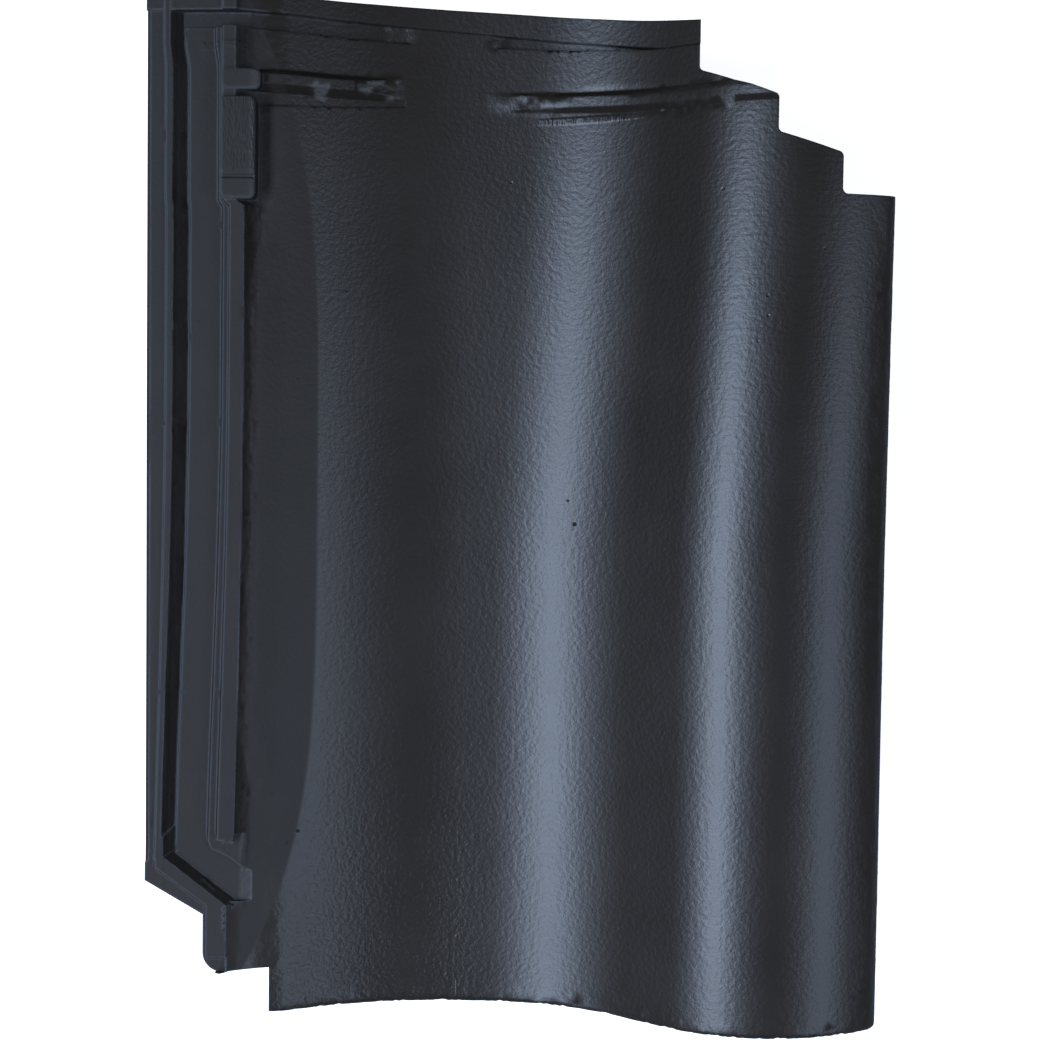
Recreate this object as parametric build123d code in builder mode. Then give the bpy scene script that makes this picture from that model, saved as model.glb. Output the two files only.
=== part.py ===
from build123d import *
from math import asin, atan, cos, degrees, radians, sin, sqrt, tan
import os

# Interlocking clay roof tile, one fired piece. It is drawn in its own frame: X runs across it from
# the left edge, Y up it from the foot to the head, and Z is measured from the lowest line of the pan.

# Whole tile
tile_width = 264.4
tile_length = 367.0
body_thickness = 12.0
edge_round = 1.2
overrun = 5.0

# Wave of the upper face: pan, left flank, heel, right flank and roll
pan_x = 103.0
pan_left_radius = 112.0
pan_left_angle = 24.0
pan_rise = 35.0
heel_radius = 33.0
crest_height = 42.0
roll_width = 48.4
flank_angle_at_foot = 39.4
flank_angle_at_head = 40.3
crest_radius = 58.0
roll_radius = 80.0
crest_shift_at_head = 6.0

# The roll keeps its place from the foot to here, and moves to the right from here to the head
taper_start_y = 170.0

# Side lock along the left edge, from the flange to the inner rib
flange_level = 21.5
outer_rib_level = 23.0
channel_level = 18.2
gutter_level = 17.0
ledge_level = 20.4
inner_rib_level = 24.4
shelf_underside = 8.0
flange_width = 6.0
outer_rib_width = 2.4
channel_wall_run = 4.0
gutter_width = 0.9
channel_width = 11.0
ledge_width = 2.8
inner_rib_width = 4.4
step_run = 0.9
inner_rib_run = 7.6
lock_drift = 4.4
lock_bend_y = 230.0
lock_curve = 1.5

# Cover lip along the right edge, and the rib under the roll that hangs into the next tile's channel
lip_width = 6.0
lip_bottom = 11.0
lip_round = 3.0
cover_rib_inset = 42.4
cover_rib_width = 7.0
cover_rib_bottom = 21.0
cover_rib_set_back = 82.0
cover_rib_draft = 6.0

# Head lock: rim, groove and the interrupted rib across the tile
head_peak_x = 79.3
head_drop_left = 2.0
head_drop_right = 7.7
rim_width_left = 5.0
rim_width_right = 8.3
rim_bow = 4.0
rim_lift = 1.8
rim_level = 22.6
groove_width_left = 5.0
groove_width = 5.6
groove_depth = 2.2
groove_end_inset = 81.4
cross_rib_lift = 2.6
cross_rib_width = 7.0
cross_rib_run = 1.8
cross_rib_left_set_back = 29.6
cross_rib_right_set_back = 33.6
cross_rib_left_end = 90.0
cross_rib_left_run_out = 17.0
cross_rib_right_end = 120.0
cross_rib_right_run_out = 30.0
toe_band_width_left = 6.0
toe_band_width_right = 3.0
toe_band_depth = 1.0

# Stepped corner at the head end of the roll
step_1_inset = 69.4
step_2_inset = 42.9
step_3_inset = 20.2
step_1_set_back = 25.0
step_2_set_back = 36.0
step_2_foot_set_back = 48.2
step_3_set_back = 55.4
step_4_set_back = 69.5
step_round = 2.0

# Stepped corner at the foot end of the side lock
exit_edge_y = 50.0
exit_toe_x = 21.0
exit_toe_y = 37.8
exit_heel_y = 24.0
exit_step_y = 17.2
exit_turn_x = 30.5
foot_corner_x = 44.4
foot_round = 2.0

# Mouth of the side lock, where a slanting wall turns its channel on to the pan
inner_rib_end_y = 64.5
rib_end_round = 2.6
mouth_x = 38.0
mouth_top_y = 53.0
mouth_bottom_y = 42.5
ledge_turn_x = 22.5
ledge_turn_y = 61.5
wall_top_y = 66.0
wall_bend_x = 4.0
wall_bend_y = 55.0
wall_width_x = 2.6
wall_width_y = 3.8
toe_rib_x = 22.4
toe_rib_y = 41.5
toe_rib_width = 7.0
toe_rib_end_y = 22.5
wall_slope = 30.0
floor_inset = 1.8

corner_slope = (exit_edge_y - exit_toe_y) / exit_toe_x

# Wider block at the head end of the inner rib, and the knuckle where the cross rib meets it
block_left_x = 26.2
block_right_x = 39.0
block_length = 36.0
block_set_back = 36.6
block_level = 25.6
block_round = 2.4
block_edge_round = 1.0
knuckle_right_x = 40.6
knuckle_length = 7.4
knuckle_set_back = 26.8
knuckle_level = 24.6

# Underside: two nibs that hook behind the batten
nib_drop = 19.0
nib_width = 32.0
nib_left_inset = 62.0
nib_right_inset = 111.4
nib_set_back = 37.0
nib_thickness = 18.0
nib_round = 3.0
nib_root_level = -3.0

# Rib across the underside near the foot, which drops behind the cross rib of the tile below
foot_rib_y = 38.0
foot_rib_width = 7.0
foot_rib_drop = 3.5

crest_x = tile_width - roll_width

# The right side of the pan is an arc that would rise by pan_rise if it ran on under the crest
pan_right_radius = ((crest_x - pan_x) ** 2 + pan_rise**2) / (2 * pan_rise)

groove_end_x = tile_width - groove_end_inset
step_1_x = tile_width - step_1_inset
step_2_x = tile_width - step_2_inset
step_3_x = tile_width - step_3_inset
nib_face_y = tile_length - nib_set_back
flank_slope = tan(radians(pan_left_angle))
flank_foot_x = pan_x - pan_left_radius * sin(radians(pan_left_angle))
flank_foot_z = pan_left_radius * (1 - cos(radians(pan_left_angle)))
foot_rib_face_y = foot_rib_y - 0.5 * foot_rib_width
rest_tilt = degrees(atan((nib_drop - foot_rib_drop) / (nib_face_y - foot_rib_face_y)))
taper_middle_y = 0.5 * (taper_start_y + tile_length)
stations = (0.0, 0.5 * taper_start_y, taper_start_y, taper_middle_y, tile_length)


def flank_level(x):
    """Height of the straight left flank at x."""
    return flank_foot_z + (flank_foot_x - x) * flank_slope


def pan_level(x):
    """Height of the pan at x, between its two flanks."""
    radius = pan_left_radius if x < pan_x else pan_right_radius
    return radius - sqrt(radius**2 - (x - pan_x) ** 2)


def drift_at(y):
    """How far the side lock has moved to the left at y, towards the foot."""
    return lock_drift * (max(0.0, lock_bend_y - y) / lock_bend_y) ** lock_curve


def section_plane(y):
    """Upright plane across the tile at y."""
    return Plane(origin=(0, y, 0), x_dir=(1, 0, 0), z_dir=(0, -1, 0))


def draw_wave(y, lift, right_x):
    """Draw the wave at y, lifted by lift, as far as right_x, and return its two ends."""
    share = max(0.0, y - taper_start_y) / (tile_length - taper_start_y)
    slope = radians(flank_angle_at_foot + (flank_angle_at_head - flank_angle_at_foot) * share)
    crest_mid = crest_x + crest_shift_at_head * share
    crest_centre = Vector(crest_mid, crest_height - crest_radius)
    pan_centre = Vector(pan_x, pan_right_radius)
    uphill = Vector(cos(slope), sin(slope))
    across = Vector(-sin(slope), cos(slope))
    arm = crest_centre + across * (crest_radius + heel_radius) - pan_centre
    reach = arm.dot(uphill)
    run = reach + sqrt(reach**2 - arm.dot(arm) + (pan_right_radius - heel_radius) ** 2)
    heel_centre = pan_centre + arm - uphill * run
    bend = asin((heel_centre.X - pan_x) / (pan_right_radius - heel_radius))
    fall = asin((right_x - crest_mid) / (roll_radius + lift))
    left = CenterArc(
        (pan_x, pan_left_radius), pan_left_radius - lift, 270 - pan_left_angle, pan_left_angle
    )
    CenterArc((pan_x, pan_right_radius), pan_right_radius - lift, 270, degrees(bend))
    heel = CenterArc(heel_centre, heel_radius - lift, 270 + degrees(bend), degrees(slope - bend))
    crest = CenterArc(crest_centre, crest_radius + lift, 90, degrees(slope))
    Line(heel @ 1, crest @ 1)
    roll_centre = (crest_mid, crest_height - roll_radius)
    roll = CenterArc(roll_centre, roll_radius + lift, 90, -degrees(fall))
    return left @ 0, roll @ 1, degrees(fall)


def draw_body(y):
    """Draw the closed outline of the tile's cross section at y."""
    drift = drift_at(y)
    flange_x = flange_width - drift
    channel_wall_x = flange_x + outer_rib_width
    gutter_x = channel_wall_x + channel_wall_run
    channel_x = gutter_x + gutter_width
    ledge_x = channel_x + channel_width
    rib_x = ledge_x + ledge_width
    rib_end_x = rib_x + inner_rib_width
    flank_x = rib_end_x + inner_rib_run
    wave_left, wave_right, fall = draw_wave(y, 0.0, tile_width - lip_round)
    under_left, under_right, _ = draw_wave(y, -body_thickness, tile_width - lip_width)
    under_x = under_left.X - (shelf_underside - under_left.Y) / flank_slope
    flank_top = (flank_x, flank_level(flank_x))
    rib_shoulder = (rib_end_x + step_run, inner_rib_level - step_run)
    Line(wave_left, flank_top)
    TangentArc(flank_top, rib_shoulder, tangent=(-1, flank_slope))
    Polyline(
        rib_shoulder,
        (rib_end_x, inner_rib_level),
        (rib_x, inner_rib_level),
        (rib_x - step_run, ledge_level),
        (ledge_x, ledge_level),
        (ledge_x - step_run, channel_level),
        (channel_x, channel_level),
        (gutter_x + 0.5 * gutter_width, gutter_level),
        (gutter_x, gutter_level),
        (channel_wall_x, outer_rib_level),
        (flange_x + 0.5 * step_run, outer_rib_level),
        (flange_x, flange_level),
        (edge_round, flange_level),
        (0, flange_level - edge_round),
        (0, shelf_underside + edge_round),
        (edge_round, shelf_underside),
        (under_x, shelf_underside),
        under_left,
    )
    lip_drop = lip_round * tan(radians(0.5 * (fall + 90)))
    lip_face = (tile_width, wave_right.Y - lip_drop)
    TangentArc(wave_right, lip_face, tangent=(cos(radians(fall)), -sin(radians(fall))))
    Polyline(
        lip_face,
        (tile_width, lip_bottom + edge_round),
        (tile_width - edge_round, lip_bottom),
        (tile_width - lip_width + edge_round, lip_bottom),
        (tile_width - lip_width, lip_bottom + edge_round),
        under_right,
    )


def draw_layer(y, low, high, shelf_low, shelf_high):
    """Draw a closed layer between two lifts of the wave, and two levels over the side lock."""
    low_left, low_right, _ = draw_wave(y, low, tile_width)
    high_left, high_right, _ = draw_wave(y, high, tile_width)
    high_x = high_left.X - (shelf_high - high_left.Y) / flank_slope
    low_x = low_left.X - (shelf_low - low_left.Y) / flank_slope
    Polyline(
        low_left,
        (low_x, shelf_low),
        (-overrun, shelf_low),
        (-overrun, shelf_high),
        (high_x, shelf_high),
        high_left,
    )
    Line(low_right, high_right)


def layer_over_wave(low, high, shelf_low, shelf_high):
    """Loft a layer that follows the wave from the foot to the head."""
    with BuildPart() as layer:
        for y in stations:
            with BuildSketch(section_plane(y)):
                with BuildLine():
                    draw_layer(y, low, high, shelf_low, shelf_high)
                make_face()
        loft()
    return layer.part


def rib_over_wave(y):
    """Loft a rib that runs across the wave at y, with two sloping sides."""
    half = 0.5 * cross_rib_width
    root = -cross_rib_run
    low = -0.5 * body_thickness
    profile = (
        (y - half - cross_rib_run, root),
        (y - half + cross_rib_run, cross_rib_lift),
        (y + half - cross_rib_run, cross_rib_lift),
        (y + half + cross_rib_run, root),
    )
    with BuildPart() as rib:
        for place, high in profile:
            with BuildSketch(section_plane(place)):
                with BuildLine():
                    draw_layer(place, low, high, shelf_underside + edge_round, knuckle_level)
                make_face()
        loft(ruled=True)
    return rib.part


def plan_shape(level, *corners):
    """Flat shape at a level, given by its corners in plan."""
    with BuildSketch(Plane.XY.offset(level)) as shape:
        with BuildLine():
            Polyline(*corners, close=True)
        make_face()
    return shape.sketch


# Bands across the head, in plan, from the head edge down: the rim and the groove
head_left = (-overrun, tile_length - head_drop_left)
head_middle = (head_peak_x, tile_length)
head_right = (step_1_x, tile_length - head_drop_right)
rim_left = (-overrun, head_left[1] - rim_width_left)
rim_right = (groove_end_x, head_right[1] - rim_width_right)
rim_middle = (0.5 * groove_end_x, 0.5 * (rim_left[1] + rim_right[1]) + rim_bow)
groove_left_x = flange_width + outer_rib_width + channel_wall_run
channel_right_x = groove_left_x + gutter_width + channel_width
groove_left = (-overrun, rim_left[1] - groove_width_left)
groove_middle = (0.5 * groove_end_x, rim_middle[1] - groove_width)

# The tile as it comes from the press, before its corners are cut
with BuildPart() as blank:
    for station in stations:
        with BuildSketch(section_plane(station)):
            with BuildLine():
                draw_body(station)
            make_face()
    loft()

with BuildPart() as rim:
    add(layer_over_wave(-0.5 * body_thickness, rim_lift, shelf_underside + edge_round, rim_level))
    with BuildSketch():
        with BuildLine():
            ThreePointArc(head_left, head_middle, head_right)
            ThreePointArc(rim_left, rim_middle, rim_right)
            Line(head_left, rim_left)
            Polyline(rim_right, (step_1_x, rim_right[1]), head_right)
        make_face()
    extrude(amount=2 * crest_height, mode=Mode.INTERSECT)

with BuildPart() as groove:
    add(layer_over_wave(-groove_depth, 2 * groove_depth, gutter_level, inner_rib_level + overrun))
    with BuildSketch():
        with BuildLine():
            ThreePointArc(rim_left, rim_middle, rim_right)
            ThreePointArc(groove_left, groove_middle, rim_right)
            Line(rim_left, groove_left)
        make_face()
        with Locations((0, rim_left[1])):
            Rectangle(2 * groove_left_x, 4 * groove_width_left, mode=Mode.SUBTRACT)
    extrude(amount=2 * crest_height, mode=Mode.INTERSECT)

# The cross rib, in two pieces that leave the bottom of the pan free and run out softly towards it
with BuildPart() as cross_rib_left:
    add(rib_over_wave(tile_length - cross_rib_left_set_back))
    run_out_x = cross_rib_left_end - cross_rib_left_run_out
    with BuildSketch(section_plane(tile_length)):
        with BuildLine():
            Polyline(
                (block_right_x, -body_thickness),
                (block_right_x, crest_height),
                (run_out_x, crest_height),
                (run_out_x, pan_level(run_out_x) + cross_rib_lift),
                (cross_rib_left_end, pan_level(cross_rib_left_end)),
                (cross_rib_left_end, -body_thickness),
                close=True,
            )
        make_face()
    extrude(amount=tile_length, mode=Mode.INTERSECT)

with BuildPart() as cross_rib_right:
    add(rib_over_wave(tile_length - cross_rib_right_set_back))
    run_out_x = cross_rib_right_end + cross_rib_right_run_out
    with BuildSketch(section_plane(tile_length)):
        with BuildLine():
            Polyline(
                (tile_width, -body_thickness),
                (tile_width, 2 * crest_height),
                (run_out_x, 2 * crest_height),
                (run_out_x, pan_level(run_out_x) + cross_rib_lift),
                (cross_rib_right_end, pan_level(cross_rib_right_end)),
                (cross_rib_right_end, -body_thickness),
                close=True,
            )
        make_face()
    extrude(amount=tile_length, mode=Mode.INTERSECT)

# Shallow band pressed in along the foot side of the left piece
with BuildPart() as toe_band:
    add(layer_over_wave(-toe_band_depth, cross_rib_lift, gutter_level, inner_rib_level + overrun))
    band_y = tile_length - cross_rib_left_set_back
    with BuildSketch():
        with BuildLine():
            Polyline(
                (block_right_x, band_y),
                (cross_rib_left_end, band_y),
                (cross_rib_left_end, band_y - 0.5 * cross_rib_width - toe_band_width_right),
                (block_right_x, band_y - 0.5 * cross_rib_width - toe_band_width_left),
                close=True,
            )
        make_face()
    extrude(amount=2 * crest_height, both=True, mode=Mode.INTERSECT)

with BuildPart() as foot_rib:
    add(
        layer_over_wave(
            -body_thickness - foot_rib_drop,
            -0.5 * body_thickness,
            shelf_underside,
            shelf_underside + edge_round,
        )
    )
    with BuildSketch():
        with Locations((0.5 * (foot_corner_x + tile_width - lip_width), foot_rib_y)):
            Rectangle(tile_width - lip_width - foot_corner_x, foot_rib_width)
    extrude(amount=2 * crest_height, both=True, mode=Mode.INTERSECT)

# Wide block and knuckle at the head end of the inner rib
with BuildPart() as block:
    with BuildSketch(Plane.XY.offset(gutter_level)):
        block_y = tile_length - block_set_back - 0.5 * block_length
        with Locations((0.5 * (block_left_x + block_right_x), block_y)):
            RectangleRounded(block_right_x - block_left_x, block_length, block_round)
    extrude(amount=block_level - gutter_level)
    fillet(block.edges().group_by(Axis.Z)[-1], radius=block_edge_round)

with BuildPart() as knuckle:
    with BuildSketch(Plane.XY.offset(gutter_level)):
        knuckle_y = tile_length - knuckle_set_back - 0.5 * knuckle_length
        with Locations((0.5 * (block_left_x + knuckle_right_x), knuckle_y)):
            RectangleRounded(knuckle_right_x - block_left_x, knuckle_length, block_round)
    extrude(amount=knuckle_level - gutter_level)
    fillet(knuckle.edges().group_by(Axis.Z)[-1], radius=block_edge_round)

# Nib, drawn at the place of the left one
with BuildPart() as nib:
    with BuildSketch(Plane.XY.offset(nib_root_level)):
        with Locations((nib_left_inset, nib_face_y + 0.5 * nib_thickness)):
            Rectangle(nib_width, nib_thickness)
    extrude(amount=-body_thickness - nib_drop - nib_root_level)
    fillet(nib.edges().group_by(Axis.Y)[-1], radius=nib_round)

# The tile in its own frame
with BuildPart() as pressed:
    add(blank.part)
    add(rim.part)
    add(groove.part, mode=Mode.SUBTRACT)
    add(toe_band.part, mode=Mode.SUBTRACT)
    add(cross_rib_left.part)
    add(cross_rib_right.part)
    add(foot_rib.part)

    add(block.part)
    add(knuckle.part)

    # Corner plate at the foot end of the side lock
    corner_points = (
        (-overrun, exit_step_y),
        (-overrun, wall_bend_y),
        (wall_bend_x + wall_width_x, wall_bend_y + wall_width_y),
        (toe_rib_x + toe_rib_width, toe_rib_y),
        (toe_rib_x + toe_rib_width, exit_step_y),
    )
    corner_bottom = shelf_underside + edge_round
    extrude(plan_shape(corner_bottom, *corner_points), amount=flange_level - corner_bottom)
    extrude(plan_shape(flange_level, *corner_points), amount=crest_height, mode=Mode.SUBTRACT)

    # Mouth: the inner rib ends, and the channel floor runs on to the flank
    rib_drift = drift_at(inner_rib_end_y)
    rib_left_x = channel_right_x + ledge_width - rib_drift
    rib_end_centre = (rib_left_x + 0.5 * inner_rib_width, inner_rib_end_y + rib_end_round)
    with BuildSketch(Plane.XY.offset(ledge_level)):
        with BuildLine():
            Polyline(
                (ledge_turn_x, rib_end_centre[1]),
                (mouth_x, rib_end_centre[1]),
                (mouth_x, toe_rib_y),
                (toe_rib_x + toe_rib_width, toe_rib_y),
                (ledge_turn_x, toe_rib_y + overrun),
                close=True,
            )
        make_face()
        with Locations(rib_end_centre):
            Circle(rib_end_round, mode=Mode.SUBTRACT)
    extrude(amount=crest_height, mode=Mode.SUBTRACT)
    floor = plan_shape(
        channel_level,
        (groove_left_x - lock_drift + floor_inset, wall_top_y),
        (ledge_turn_x - floor_inset, wall_top_y),
        (ledge_turn_x, ledge_turn_y),
        (mouth_x, mouth_top_y),
        (mouth_x, mouth_bottom_y),
        (toe_rib_x + toe_rib_width, mouth_bottom_y),
        (groove_left_x - lock_drift + floor_inset, ledge_turn_y),
    )
    extrude(floor, amount=crest_height, mode=Mode.SUBTRACT)

    # Slanting wall and toe rib, with sloping sides
    with BuildSketch(Plane.XY.offset(outer_rib_level)):
        with BuildLine():
            Polyline(
                (wall_bend_x, wall_top_y),
                (wall_bend_x, wall_bend_y),
                (toe_rib_x, toe_rib_y),
                (toe_rib_x, toe_rib_end_y),
                (toe_rib_x + toe_rib_width, toe_rib_end_y),
                (toe_rib_x + toe_rib_width, toe_rib_y),
                (wall_bend_x + wall_width_x, wall_bend_y + wall_width_y),
                (wall_bend_x + wall_width_x, wall_top_y),
                close=True,
            )
        make_face()
    extrude(amount=gutter_level - outer_rib_level, taper=-wall_slope)

    # Outline in plan, with its stepped corners
    with BuildSketch():
        with BuildLine():
            ThreePointArc(head_left, head_middle, head_right)
            FilletPolyline(
                head_right,
                (step_1_x, tile_length - step_1_set_back),
                (step_2_x, tile_length - step_2_set_back),
                (step_2_x, tile_length - step_2_foot_set_back),
                (step_3_x, tile_length - step_3_set_back),
                (step_3_x, tile_length - step_4_set_back),
                (tile_width + overrun, tile_length - step_4_set_back),
                radius=step_round,
            )
            Polyline(
                (tile_width + overrun, tile_length - step_4_set_back),
                (tile_width + overrun, 0),
                (foot_corner_x, 0),
                (foot_corner_x, exit_step_y),
                (exit_turn_x, exit_step_y),
            )
            TangentArc((exit_toe_x, exit_heel_y), (exit_turn_x, exit_step_y), tangent=(0, -1))
            Polyline(
                (exit_toe_x, exit_heel_y),
                (exit_toe_x, exit_toe_y),
                (-overrun, exit_edge_y + overrun * corner_slope),
                head_left,
            )
        make_face()
        with Locations((-0.5 * tile_width, 0.5 * tile_length)):
            Rectangle(tile_width, 2 * tile_length, mode=Mode.SUBTRACT)
    extrude(amount=2 * crest_height, both=True, mode=Mode.INTERSECT)

    # Rib under the roll
    cover_rib_root = crest_height - 0.5 * body_thickness
    cover_rib_end_y = tile_length - cover_rib_set_back
    with BuildSketch(Plane.XY.offset(cover_rib_root)):
        with Locations((tile_width - cover_rib_inset, 0.5 * (exit_step_y + cover_rib_end_y))):
            Rectangle(cover_rib_width, cover_rib_end_y - exit_step_y)
    extrude(amount=cover_rib_bottom - cover_rib_root, taper=cover_rib_draft)

    # Nibs
    add(nib.part)
    with Locations((tile_width - nib_right_inset - nib_left_inset, 0)):
        add(nib.part)

    # Soft upper edge at the foot
    foot_face = pressed.faces().sort_by(Axis.Y)[0]
    upper_faces = pressed.faces().filter_by(lambda face: face.normal_at().Z > 0.1)
    fillet(foot_face.edges() & upper_faces.edges(), radius=foot_round)

# The tile as it lies on a level floor, on its nibs and its foot rib
tilted = pressed.part.rotate(Axis.X, rest_tilt)
resting_box = tilted.bounding_box()
with BuildPart() as roof_tile:
    with Locations((-resting_box.center().X, -resting_box.center().Y, -resting_box.min.Z)):
        add(pressed.part, rotation=(rest_tilt, 0, 0))

roof_tile.part.label = "roof_tile"
os.makedirs("parts", exist_ok=True)
export_step(roof_tile.part, "parts/roof_tile.step")
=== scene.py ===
import bpy
import bmesh
import numpy as np
from math import radians
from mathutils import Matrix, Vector


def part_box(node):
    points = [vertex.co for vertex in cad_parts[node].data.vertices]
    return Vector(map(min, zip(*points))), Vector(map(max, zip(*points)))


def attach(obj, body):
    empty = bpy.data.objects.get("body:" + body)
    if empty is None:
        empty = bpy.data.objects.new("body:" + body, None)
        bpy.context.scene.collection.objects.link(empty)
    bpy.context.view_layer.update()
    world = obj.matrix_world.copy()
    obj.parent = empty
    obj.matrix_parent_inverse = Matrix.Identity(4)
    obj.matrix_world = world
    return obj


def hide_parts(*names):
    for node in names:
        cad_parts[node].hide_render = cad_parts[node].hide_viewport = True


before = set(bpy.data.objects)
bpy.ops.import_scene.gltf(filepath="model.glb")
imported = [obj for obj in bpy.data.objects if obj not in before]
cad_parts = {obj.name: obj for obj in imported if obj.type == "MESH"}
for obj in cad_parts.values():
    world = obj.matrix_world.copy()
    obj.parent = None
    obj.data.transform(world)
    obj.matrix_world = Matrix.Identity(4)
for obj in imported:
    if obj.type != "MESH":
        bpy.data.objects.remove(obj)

# The start-up objects go before the CAD box is measured
for leftover in ("Cube", "Light", "Camera"):
    if leftover in bpy.data.objects:
        bpy.data.objects.remove(bpy.data.objects[leftover], do_unlink=True)
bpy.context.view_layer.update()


# Sets a socket from a Value, another socket or a plain number
def connect(tree, item, target):
    if isinstance(item, Value):
        tree.links.new(item.socket, target)
    elif hasattr(item, "is_output"):
        tree.links.new(item, target)
    else:
        target.default_value = item


# A socket that takes part in plain arithmetic, each step of which adds one Math node
class Value:
    def __init__(self, tree, socket):
        self.tree = tree
        self.socket = socket

    def math(self, operation, *others, clamp=False):
        node = self.tree.nodes.new("ShaderNodeMath")
        node.operation = operation
        node.use_clamp = clamp
        for index, item in enumerate((self,) + others):
            connect(self.tree, item, node.inputs[index])
        return Value(self.tree, node.outputs[0])

    def __add__(self, other):
        return self.math("ADD", other)

    def __radd__(self, other):
        return self.math("ADD", other)

    def __sub__(self, other):
        return self.math("SUBTRACT", other)

    def __rsub__(self, other):
        node = self.tree.nodes.new("ShaderNodeMath")
        node.operation = "SUBTRACT"
        connect(self.tree, other, node.inputs[0])
        connect(self.tree, self, node.inputs[1])
        return Value(self.tree, node.outputs[0])

    def __mul__(self, other):
        return self.math("MULTIPLY", other)

    def __rmul__(self, other):
        return self.math("MULTIPLY", other)

    def __truediv__(self, other):
        return self.math("DIVIDE", other)

    # 0 below low, full above high, and smooth between them
    def step(self, low, high, full=1.0):
        node = self.tree.nodes.new("ShaderNodeMapRange")
        node.interpolation_type = "SMOOTHSTEP"
        connect(self.tree, self, node.inputs["Value"])
        node.inputs["From Min"].default_value = low
        node.inputs["From Max"].default_value = high
        node.inputs["To Max"].default_value = full
        return Value(self.tree, node.outputs["Result"])

    # 1 between low and high, and 0 outside, with soft borders
    def band(self, low, high, soft):
        return self.step(low - soft, low + soft) * (1.0 - self.step(high - soft, high + soft))


# The nodes of one material
class Shader:
    def __init__(self, name):
        self.material = bpy.data.materials.new(name)
        self.material.use_nodes = True
        self.tree = self.material.node_tree
        self.tree.nodes.clear()
        self.surface = self.tree.nodes.new("ShaderNodeBsdfPrincipled")
        self.output = self.tree.nodes.new("ShaderNodeOutputMaterial")
        self.tree.links.new(self.surface.outputs[0], self.output.inputs["Surface"])

    # Any other node: its type, its settings, then its socket values or links
    def node(self, kind, settings=None, **sockets):
        node = self.tree.nodes.new(kind)
        for key, item in (settings or {}).items():
            setattr(node, key, item)
        for key, item in sockets.items():
            connect(self.tree, item, node.inputs[key.replace("_", " ")])
        return node

    # Noise along stretched coordinates: a larger stretch gives finer marks that way
    def noise(self, place, stretch, detail, roughness):
        moved = self.node("ShaderNodeVectorMath", {"operation": "MULTIPLY"})
        connect(self.tree, place, moved.inputs[0])
        moved.inputs[1].default_value = stretch
        node = self.node("ShaderNodeTexNoise", Scale=1.0, Detail=detail, Roughness=roughness)
        self.tree.links.new(moved.outputs[0], node.inputs["Vector"])
        return Value(self.tree, node.outputs["Fac"])

    # How far the shaded point is from a point of the part
    def distance(self, place, point):
        node = self.node("ShaderNodeVectorMath", {"operation": "DISTANCE"})
        connect(self.tree, place, node.inputs[0])
        node.inputs[1].default_value = point
        return Value(self.tree, node.outputs["Value"])

    def mixColors(self, factor, low, high):
        node = self.node("ShaderNodeMix", {"data_type": "RGBA"})
        connect(self.tree, factor, node.inputs[0])
        connect(self.tree, low, node.inputs[6])
        connect(self.tree, high, node.inputs[7])
        return node.outputs[2]

    def put(self, **sockets):
        for key, item in sockets.items():
            connect(self.tree, item, self.surface.inputs[key.replace("_", " ")])


# The fired clay tile
tile = {
    "cell": 0.0026,
    "snap": 0.00015,
    "sharpAngle": 24.0,
    "creaseAngle": 15.0,
    "smoothPasses": 60,
    "tilt": 3.0026,
    "left": -132.2,
    "foot": -182.45,
    "base": 13.67,
    "lockLift": 2.6,
    "lockRight": 31.5,
    "blockRight": 40.8,
    "blockFoot": 292.0,
    "blockBlend": 40.0,
    "headY": 318.0,
    "ribLift": 0.9,
    "footWear": 0.16,
    "lockDrift": 4.4,
    "lockBend": 230.0,
    "blendRun": 7.6,
    "footRibBottom": -15.5,
    "panUnderside": -12.2,
}

# Ribs near the head, as places up and across the tile
ribs = {
    "leftY": 337.4, "rightY": 333.4, "height": 2.6, "halfTop": 1.7, "halfFoot": 3.83,
    "gapX": 105.0, "leftEnd": 90.0, "leftRunOut": 17.0, "rightEnd": 120.0, "rightRunOut": 30.0,
    "bandDepth": 1.0, "rimFoot": 345.0, "rimHeight": 1.8, "grooveDepth": 2.2,
}

# How far the steps of the lock move to the right, by their place across it
shifts = {
    "at": (0.0, 6.0, 13.3, 24.3, 27.1, 31.5, 39.1, 48.0),
    "foot": (0.0, 0.3, 0.2, 1.2, 2.1, 3.5, 1.2, 0.0),
    "middle": (0.0, 0.9, 1.8, 2.8, 2.8, 3.4, 1.2, 0.0),
    "block": (0.0, 0.6, 1.4, 1.2, 0.0, 0.0, 0.0, 0.0),
}

# The wave across the tile in millimetres, first as the solid has it and then as the photograph's
# light shows it
solidWave = {
    "left": -132.2, "panX": 103.0, "panLeftRadius": 112.0, "panLeftAngle": 24.0,
    "panRise": 35.0, "heelRadius": 33.0, "crestX": 216.0, "crestHeight": 42.0,
    "crestRadius": 58.0, "rollRadius": 80.0, "footAngle": 39.4, "headAngle": 40.3,
    "headShift": 6.0, "taperY": 170.0, "headY": 367.0,
}
firedWave = {
    "left": -132.0, "panX": 112.6, "panLeftRadius": 123.0, "panLeftAngle": 27.0,
    "panRise": 21.0, "heelRadius": 87.0, "crestX": 224.6, "crestHeight": 42.0,
    "crestRadius": 58.0, "rollRadius": 62.0, "footAngle": 37.2, "headAngle": 38.4,
    "headShift": 9.5, "taperY": 170.0, "headY": 367.0,
}


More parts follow.
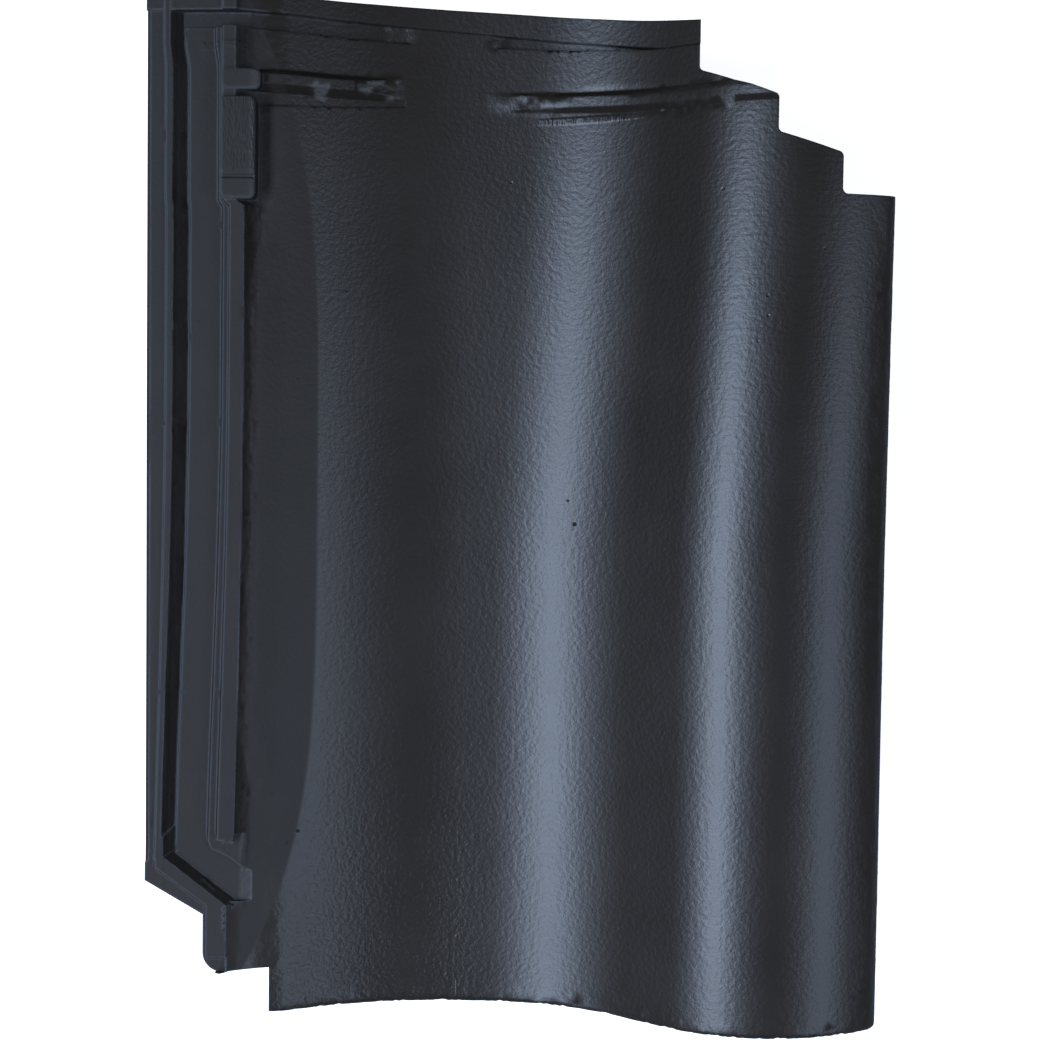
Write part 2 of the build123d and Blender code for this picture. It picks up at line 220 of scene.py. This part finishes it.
# Height of one wave above the pan's lowest line, for places given in millimetres
def waveHeight(wave, rowX, y):
    x = rowX - wave["left"]
    share = np.clip((y - wave["taperY"]) / (wave["headY"] - wave["taperY"]), 0.0, 1.0)
    slope = np.radians(wave["footAngle"] + (wave["headAngle"] - wave["footAngle"]) * share)
    crestX = wave["crestX"] + wave["headShift"] * share
    span = wave["crestX"] - wave["panX"]
    panRadius = (span**2 + wave["panRise"] ** 2) / (2 * wave["panRise"])
    crestZ = wave["crestHeight"] - wave["crestRadius"]
    both = wave["crestRadius"] + wave["heelRadius"]
    armX = crestX - np.sin(slope) * both - wave["panX"]
    armZ = crestZ + np.cos(slope) * both - panRadius
    reach = armX * np.cos(slope) + armZ * np.sin(slope)
    run = reach + np.sqrt(reach**2 - armX**2 - armZ**2 + (panRadius - wave["heelRadius"]) ** 2)
    heelX = wave["panX"] + armX - np.cos(slope) * run
    heelZ = panRadius + armZ - np.sin(slope) * run
    heelShare = panRadius / (panRadius - wave["heelRadius"])
    heelStart = wave["panX"] + (heelX - wave["panX"]) * heelShare
    heelEnd = heelX + wave["heelRadius"] * np.sin(slope)
    heelEndZ = heelZ - wave["heelRadius"] * np.cos(slope)
    crestStart = crestX - wave["crestRadius"] * np.sin(slope)
    turn = radians(wave["panLeftAngle"])
    flankX = wave["panX"] - wave["panLeftRadius"] * np.sin(turn)
    flankZ = wave["panLeftRadius"] * (1 - np.cos(turn))

    def arc(radius, centre):
        return np.sqrt(np.maximum(radius**2 - (x - centre) ** 2, 0.0))

    left = wave["panLeftRadius"] - arc(wave["panLeftRadius"], wave["panX"])
    right = panRadius - arc(panRadius, wave["panX"])
    heel = heelZ - arc(wave["heelRadius"], heelX)
    flank = heelEndZ + (x - heelEnd) * np.tan(slope)
    crest = crestZ + arc(wave["crestRadius"], crestX)
    roll = wave["crestHeight"] - wave["rollRadius"] + arc(wave["rollRadius"], crestX)
    wall = flankZ + (flankX - x) * np.tan(turn)
    ends = (flankX, wave["panX"], heelStart, heelEnd, crestStart, crestX)
    return np.select([x < end for end in ends], [wall, left, right, heel, flank, crest], roll)


def smoothStep(place, low, high):
    share = np.clip((place - low) / (high - low), 0.0, 1.0)
    return share * share * (3.0 - 2.0 * share)


# Cut the faces at every place along one axis, first in the middle and then in each half
def cutFaces(mesh, faces, axis, places):
    if not places or not faces:
        return
    middle = len(places) // 2
    edges = list(dict.fromkeys(edge for face in faces for edge in face.edges))
    corners = list(dict.fromkeys(corner for face in faces for corner in face.verts))
    point = Vector((0, 0, 0))
    normal = Vector((0, 0, 0))
    point[axis] = places[middle]
    normal[axis] = 1.0
    result = bmesh.ops.bisect_plane(
        mesh, geom=corners + edges + faces, dist=tile["snap"], plane_co=point, plane_no=normal
    )
    pieces = [item for item in result["geom"] if isinstance(item, bmesh.types.BMFace)]
    below = [face for face in pieces if face.calc_center_median()[axis] < places[middle]]
    above = [face for face in pieces if face.calc_center_median()[axis] >= places[middle]]
    cutFaces(mesh, below, axis, places[:middle])
    cutFaces(mesh, above, axis, places[middle + 1:])


# Cut the mesh by an even grid, so that its facets can be rounded off
def cutMesh(source, low, high):
    mesh = bmesh.new()
    mesh.from_mesh(source.data)
    bmesh.ops.remove_doubles(mesh, verts=mesh.verts, dist=1e-6)
    for axis in (0, 1):
        count = int((high[axis] - low[axis]) / tile["cell"])
        places = [low[axis] + tile["cell"] * (number + 0.5) for number in range(count)]
        cutFaces(mesh, mesh.faces[:], axis, places)
    bmesh.ops.dissolve_degenerate(mesh, edges=mesh.edges, dist=2e-5)
    bmesh.ops.triangulate(mesh, faces=mesh.faces)
    result = bpy.data.meshes.new("roof_tile_surface")
    mesh.to_mesh(result)
    mesh.free()
    return result


def readPoints(mesh):
    points = np.empty(len(mesh.vertices) * 3)
    mesh.vertices.foreach_get("co", points)
    return points.reshape(-1, 3)


# Where points lie in the solid's own frame, in millimetres: X as in the row, Y up the tile and Z
# above the pan
def tileFrame(points):
    turn = radians(tile["tilt"])
    up = points[:, 1] * 1000.0 - tile["foot"]
    over = points[:, 2] * 1000.0 - tile["base"]
    y = up * np.cos(turn) + over * np.sin(turn)
    z = over * np.cos(turn) - up * np.sin(turn)
    return points[:, 0] * 1000.0, y, z


# Round off the facets of the curved faces, and leave the edges and the head's ribs where they are
def smoothFacets(mesh):
    points = readPoints(mesh)
    count = len(points)
    rowX, y, z = tileFrame(points)
    work = bmesh.new()
    work.from_mesh(mesh)
    limit = radians(tile["sharpAngle"])
    pairs = np.array([[edge.verts[0].index, edge.verts[1].index] for edge in work.edges])
    held = (y > tile["headY"]) & (np.abs(z - waveHeight(solidWave, rowX, y)) > tile["ribLift"])
    for edge in work.edges:
        if not edge.is_manifold or edge.calc_face_angle(0.0) > limit:
            held[edge.verts[0].index] = True
            held[edge.verts[1].index] = True
    work.free()
    lengths = np.linalg.norm(points[pairs[:, 0]] - points[pairs[:, 1]], axis=1)
    weights = 1.0 / np.maximum(lengths, 2e-4)
    total = np.bincount(pairs[:, 0], weights, count) + np.bincount(pairs[:, 1], weights, count)
    total = np.maximum(total, 1e-9)
    heights = points[:, 2].copy()
    for number in range(tile["smoothPasses"]):
        mean = np.bincount(pairs[:, 0], weights * heights[pairs[:, 1]], count)
        mean += np.bincount(pairs[:, 1], weights * heights[pairs[:, 0]], count)
        move = (0.5 if number % 2 == 0 else -0.52) * (mean / total - heights)
        move[held] = 0.0
        heights += move
    points[:, 2] = heights
    mesh.vertices.foreach_set("co", points.ravel())
    mesh.update()


# How far the surface near the head lies off the even heights of its ribs, rim, groove and toe band
def headFacets(x, y, over):
    left = x < ribs["gapX"]
    away = np.abs(y - np.where(left, ribs["leftY"], ribs["rightY"]))
    leftRise = np.clip((ribs["leftEnd"] - x) / ribs["leftRunOut"], 0.0, 1.0)
    rightRise = np.clip((x - ribs["rightEnd"]) / ribs["rightRunOut"], 0.0, 1.0)
    rise = ribs["height"] * np.maximum(leftRise, rightRise)
    slope = np.clip((ribs["halfFoot"] - away) / (ribs["halfFoot"] - ribs["halfTop"]), -1.0, 1.0)
    far = np.full(len(x), 100.0)
    inBand = (x < ribs["leftEnd"] + 2.0) & (y < ribs["leftY"])
    choices = np.array([
        over,
        np.where(away < ribs["halfFoot"] + 1.5, over - rise * slope, far),
        np.where(inBand, over + ribs["bandDepth"], far),
        np.where(y > ribs["rimFoot"], over - ribs["rimHeight"], far),
        np.where(y > ribs["rimFoot"], over + ribs["grooveDepth"], far),
    ])
    nearest = choices[np.argmin(np.abs(choices), axis=0), np.arange(len(x))]
    reach = np.where(left, 0.45, 0.85)
    kept = np.clip((reach + 0.15 - np.abs(nearest)) / 0.15, 0.0, 1.0)
    return nearest * kept * smoothStep(y, tile["headY"] - 8.0, tile["headY"])


# How far the lock's steps stand to the right of the solid's, in millimetres
def lockShift(lockX, y):
    atFoot = np.interp(lockX, shifts["at"], shifts["foot"])
    midway = np.interp(lockX, shifts["at"], shifts["middle"])
    atBlock = np.interp(lockX, shifts["at"], shifts["block"])
    share = smoothStep(y, 80.0, 220.0)
    lower = (atFoot * (1.0 - share) + midway * share) * smoothStep(y, 50.0, 64.0)
    share = smoothStep(y, 292.6, 294.3)
    return lower * (1.0 - share) + atBlock * share * (1.0 - smoothStep(y, 340.0, 350.0))


# Move the surface from the solid's wave to the photograph's, and leave the feet on the floor
def shapeWave(mesh):
    points = readPoints(mesh)
    rowX, y, z = tileFrame(points)
    x = rowX - tile["left"]
    drift = tile["lockDrift"] * (np.maximum(0.0, tile["lockBend"] - y) / tile["lockBend"]) ** 1.5
    nearBlock = smoothStep(y, tile["blockFoot"] - tile["blockBlend"], tile["blockFoot"])
    nearBlock = np.maximum(nearBlock, 1.0 - smoothStep(y, 70.0, 110.0))
    start = (tile["lockRight"] - drift) * (1.0 - nearBlock) + tile["blockRight"] * nearBlock
    blend = np.clip((x - start) / tile["blendRun"], 0.0, 1.0)
    solid = waveHeight(solidWave, rowX, y)
    lift = tile["lockLift"] * (1.0 - blend) + (waveHeight(firedWave, rowX, y) - solid) * blend
    # On the open wave, away from the ribs and the edges, what is left of the facets goes too
    facets = (z - solid) * (1.0 - smoothStep(np.abs(z - solid), 0.95, 1.2))
    facets *= smoothStep(blend, 0.9, 1.0)
    facets *= smoothStep(y, 3.0, 8.0) * (1.0 - smoothStep(y, tile["headY"] - 8.0, tile["headY"]))
    awayFromBlock = np.maximum(smoothStep(x, 46.0, 52.0), smoothStep(y, 70.0, 78.0))
    facets *= (1.0 - smoothStep(x, 255.0, 260.0)) * awayFromBlock
    lift -= facets + headFacets(x, y, z - solid) * smoothStep(blend, 0.9, 1.0)
    lift *= smoothStep(z, tile["footRibBottom"], tile["panUnderside"])
    points[:, 2] += lift / 1000.0
    points[:, 0] += lockShift(x + drift, y) / 1000.0
    # The foot's edge is a little uneven
    uneven = np.sin(x * 0.31) + np.sin(x * 0.83 + 1.0) + np.sin(x * 2.1 + 2.0)
    atFoot = 1.0 - smoothStep(y, 0.4, 1.4)
    points[:, 1] += np.maximum(uneven, 0.0) * atFoot * tile["footWear"] / 1000.0
    mesh.vertices.foreach_set("co", points.ravel())
    mesh.update()
    print("wave shaped by", round(float(lift.min()), 2), "to", round(float(lift.max()), 2), "mm")


# The black engobe: its color, its sheen and its relief. The scale of the noises is per millimetre,
# and a pit is its x, y, radius and depth in millimetres
engobe = {
    "darkColor": (0.0118, 0.0088, 0.0064, 1.0),
    "paleColor": (0.0160, 0.0126, 0.0098, 1.0),
    "roughness": 0.385,
    "roughnessSpread": 0.05,
    "flankGain": 0.20,
    "lockGain": 0.17,
    "edgeRadius": 0.0011,
    # A painted highlight: the pale bluish colour given to the lock's rounded edges
    "paintedEdgeHighlight": (0.100, 0.105, 0.118, 1.0),
    "edgeSheen": -0.16,
    "hammerSize": 0.62,
    "hammerDepth": 0.13,
    "coarseGain": 1.1,
    "brushDepth": 0.045,
    "flashDepth": 0.16,
    "crumbDepth": 0.30,
    "scratchDepth": 0.50,
    "slotDepth": 0.45,
    "tickHeight": 0.06,
    "pits": (
        (153.8, 179.3, 0.9, 0.40), (151.3, 187.9, 0.6, 0.20), (129.1, 304.2, 0.7, 0.16),
        (203.2, 297.1, 0.8, 0.16), (218.8, 259.6, 0.7, 0.20), (219.1, 252.7, 0.8, 0.20),
        (238.3, 276.1, 0.8, 0.18), (215.8, 243.8, 0.7, 0.14), (70.0, 262.6, 0.6, -0.12),
        (52.8, 230.1, 0.7, -0.15), (54.2, 66.0, 0.8, 0.25), (50.2, 62.0, 0.8, -0.20),
        (18.0, 250.0, 0.7, -0.15),
    ),
}


def makeEngobe():
    shader = Shader("fired_clay_engobe")
    place = shader.node("ShaderNodeTexCoord").outputs["Object"]
    inMillimetres = shader.node("ShaderNodeVectorMath", {"operation": "SCALE"}, Scale=1000.0)
    connect(shader.tree, place, inMillimetres.inputs[0])
    scaled = inMillimetres.outputs[0]
    parts = shader.node("ShaderNodeSeparateXYZ", Vector=scaled)
    x = Value(shader.tree, parts.outputs["X"]) - tile["left"]
    y = Value(shader.tree, parts.outputs["Y"]) - tile["foot"]
    # The ribs of the side lock lean to the left towards the foot, and lockX runs along with them
    bendShare = ((tile["lockBend"] - y) / tile["lockBend"]).math("MAXIMUM", 0.0)
    lockX = x + bendShare.math("POWER", 1.5) * tile["lockDrift"]
    # The spray lay thinner to the left of this line on the left flank
    reach = (y - 190.0) / 150.0
    sprayLine = x + reach * reach * reach * reach * 14.0
    thin = 1.0 - sprayLine.step(59.2, 60.8)
    inLock = 1.0 - lockX.step(36.0, 38.0)
    atFoot = (1.0 - y.step(20.0, 120.0)) * x.band(46.0, 118.0, 12.0)

    size = engobe["hammerSize"]
    hammer = shader.noise(scaled, (size, size, size), 2.0, 0.55)
    cloud = shader.noise(scaled, (0.022, 0.022, 0.022), 3.0, 0.55)
    brush = shader.noise(scaled, (0.07, 0.85, 0.07), 1.5, 0.6)
    crumbs = shader.noise(scaled, (0.9, 0.9, 0.9), 1.0, 0.7)
    scratch = shader.noise(scaled, (1.2, 0.3, 0.55), 1.0, 0.65)
    color = shader.mixColors(cloud.step(0.3, 0.7), engobe["darkColor"], engobe["paleColor"])

    relief = hammer * (atFoot * engobe["coarseGain"] + 1.0) * engobe["hammerDepth"]
    relief = relief + brush * x.band(190.0, 250.0, 9.0) * engobe["brushDepth"]
    onRib = lockX.band(8.4, 10.2, 0.4) * y.step(30.0, 50.0)
    relief = relief + crumbs * onRib * engobe["flashDepth"]
    rowOfCrumbs = x.band(139.0, 176.0, 3.0) * (y - x * 0.02).band(321.9, 324.3, 0.5)
    relief = relief + scratch * rowOfCrumbs * engobe["crumbDepth"]
    onBlock = x.band(26.8, 38.6, 0.5)
    relief = relief + scratch * onBlock * y.band(302.5, 329.0, 1.0) * engobe["scratchDepth"]
    relief = relief - onBlock * y.band(299.9, 300.9, 0.4) * engobe["slotDepth"]
    inCorner = x.band(19.0, 36.0, 1.0) * y.band(345.8, 348.2, 0.6)
    relief = relief + crumbs * inCorner * engobe["crumbDepth"]
    tick = x.band(112.0, 112.5, 0.3) * (1.0 - y.step(8.0, 9.5))
    relief = relief + tick * engobe["tickHeight"]
    flat = shader.node("ShaderNodeCombineXYZ", X=x, Y=y).outputs[0]
    for pitX, pitY, radius, depth in engobe["pits"]:
        relief = relief + shader.distance(flat, (pitX, pitY, 0.0)).step(0.0, radius, depth)

    rounded = shader.node("ShaderNodeBevel", {"samples": 2}, Radius=engobe["edgeRadius"])
    bump = shader.node("ShaderNodeBump", Strength=1.0, Distance=0.001, Height=relief)
    shader.tree.links.new(rounded.outputs[0], bump.inputs["Normal"])
    # On the rounded edges of the lock the engobe is shinier, and its colour there is a painted
    # highlight
    plain = shader.node("ShaderNodeNewGeometry").outputs["Normal"]
    turned = shader.node("ShaderNodeVectorMath", {"operation": "DOT_PRODUCT"})
    connect(shader.tree, plain, turned.inputs[0])
    connect(shader.tree, rounded.outputs[0], turned.inputs[1])
    bent = (1.0 - Value(shader.tree, turned.outputs["Value"])).step(0.01, 0.12)
    # The rounded edges of the lock get a painted highlight in their colour and a lower roughness
    edge = bent * (1.0 - x.step(41.0, 44.0))
    color = shader.mixColors(edge, color, engobe["paintedEdgeHighlight"])
    roughness = (cloud - 0.5) * engobe["roughnessSpread"] + engobe["roughness"]
    roughness = roughness + thin * engobe["flankGain"] + inLock * engobe["lockGain"]
    roughness = roughness + edge * engobe["edgeSheen"]
    shader.put(Base_Color=color, Roughness=roughness, Normal=bump.outputs[0])
    return shader.material


def makeTile():
    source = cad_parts["roof_tile"]
    low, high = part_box("roof_tile")
    mesh = cutMesh(source, low, high)
    print("tile cut:", len(mesh.vertices), "corners")
    smoothFacets(mesh)
    shapeWave(mesh)
    piece = bpy.data.objects.new("roof_tile_surface", mesh)
    bpy.context.scene.collection.objects.link(piece)
    mesh.materials.clear()
    mesh.materials.append(makeEngobe())
    mesh.shade_smooth()
    mesh.set_sharp_from_angle(angle=radians(tile["creaseAngle"]))
    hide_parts("roof_tile")
    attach(piece, "root")
    print("tile surface:", len(mesh.polygons), "triangles")
    return piece


# The floor, white to the camera
floor = {
    "size": 6.0, "color": (0.86, 0.86, 0.86, 1.0), "glow": 0.80,
    "bounce": (0.30, 0.30, 0.30, 1.0),
}


def makeFloor():
    half = 0.5 * floor["size"]
    mesh = bpy.data.meshes.new("floor")
    corners = [(-half, -half, 0), (half, -half, 0), (half, half, 0), (-half, half, 0)]
    mesh.from_pydata(corners, [], [(0, 1, 2, 3)])
    piece = bpy.data.objects.new("floor", mesh)
    bpy.context.scene.collection.objects.link(piece)
    shader = Shader("floor_paint")
    shader.put(Base_Color=floor["color"], Roughness=0.9)
    glow = shader.node("ShaderNodeEmission", Color=(1, 1, 1, 1), Strength=floor["glow"])
    both = shader.node("ShaderNodeAddShader")
    shader.tree.links.new(shader.surface.outputs[0], both.inputs[0])
    shader.tree.links.new(glow.outputs[0], both.inputs[1])
    dull = shader.node("ShaderNodeBsdfDiffuse", Color=floor["bounce"])
    seen = shader.node("ShaderNodeLightPath").outputs["Is Camera Ray"]
    chosen = shader.node("ShaderNodeMixShader", Fac=seen)
    shader.tree.links.new(dull.outputs[0], chosen.inputs[1])
    shader.tree.links.new(both.outputs[0], chosen.inputs[2])
    shader.tree.links.new(chosen.outputs[0], shader.output.inputs["Surface"])
    # Its glow is for the camera alone, so no light is looked for there
    shader.material.cycles.emission_sampling = "NONE"
    mesh.materials.append(shader.material)
    print("floor made")
    return piece


# Two long soft lamps, both nearer the foot: a bright one on the left and a fainter, wider one on
# the right
lampColor = (0.61, 0.75, 1.0)
lamps = {
    "left": {"turn": 32.0, "away": 1.50, "y": -0.38, "size": (0.30, 1.30), "power": 31.0},
    "right": {"turn": -45.0, "away": 1.50, "y": -0.52, "size": (0.46, 1.30), "power": 9.6},
}
sky = {"color": (1.0, 0.91, 0.81, 1.0), "strength": 0.100}


def makeLamps():
    for name, lamp in lamps.items():
        data = bpy.data.lights.new(name + "_lamp", "AREA")
        data.shape = "RECTANGLE"
        data.size, data.size_y = lamp["size"]
        data.energy = lamp["power"]
        data.color = lampColor
        piece = bpy.data.objects.new(name + "_lamp", data)
        turn = radians(lamp["turn"])
        piece.rotation_euler = (0.0, -turn, 0.0)
        piece.location = Vector((-np.sin(turn), 0.0, np.cos(turn))) * lamp["away"]
        piece.location.y = lamp["y"]
        bpy.context.scene.collection.objects.link(piece)
    world = bpy.data.worlds.new("studio")
    world.use_nodes = True
    tree = world.node_tree
    tree.nodes["Background"].inputs["Color"].default_value = sky["color"]
    tree.nodes["Background"].inputs["Strength"].default_value = sky["strength"]
    bpy.context.scene.world = world
    print("lamps made")


# The camera looks straight down from above the middle of the tile, turned a little
camera = {"at": (0.0022, -0.0024, 0.7537), "turn": 0.75, "lens": 68.2, "sensor": 36.0}


def makeCamera():
    data = bpy.data.cameras.new("camera")
    data.lens = camera["lens"]
    data.sensor_width = camera["sensor"]
    piece = bpy.data.objects.new("camera", data)
    piece.location = camera["at"]
    piece.rotation_euler = (0.0, 0.0, radians(camera["turn"]))
    bpy.context.scene.collection.objects.link(piece)
    bpy.context.scene.camera = piece


makeTile()
makeFloor()
makeLamps()
makeCamera()
bpy.context.scene.view_settings.view_transform = "Standard"
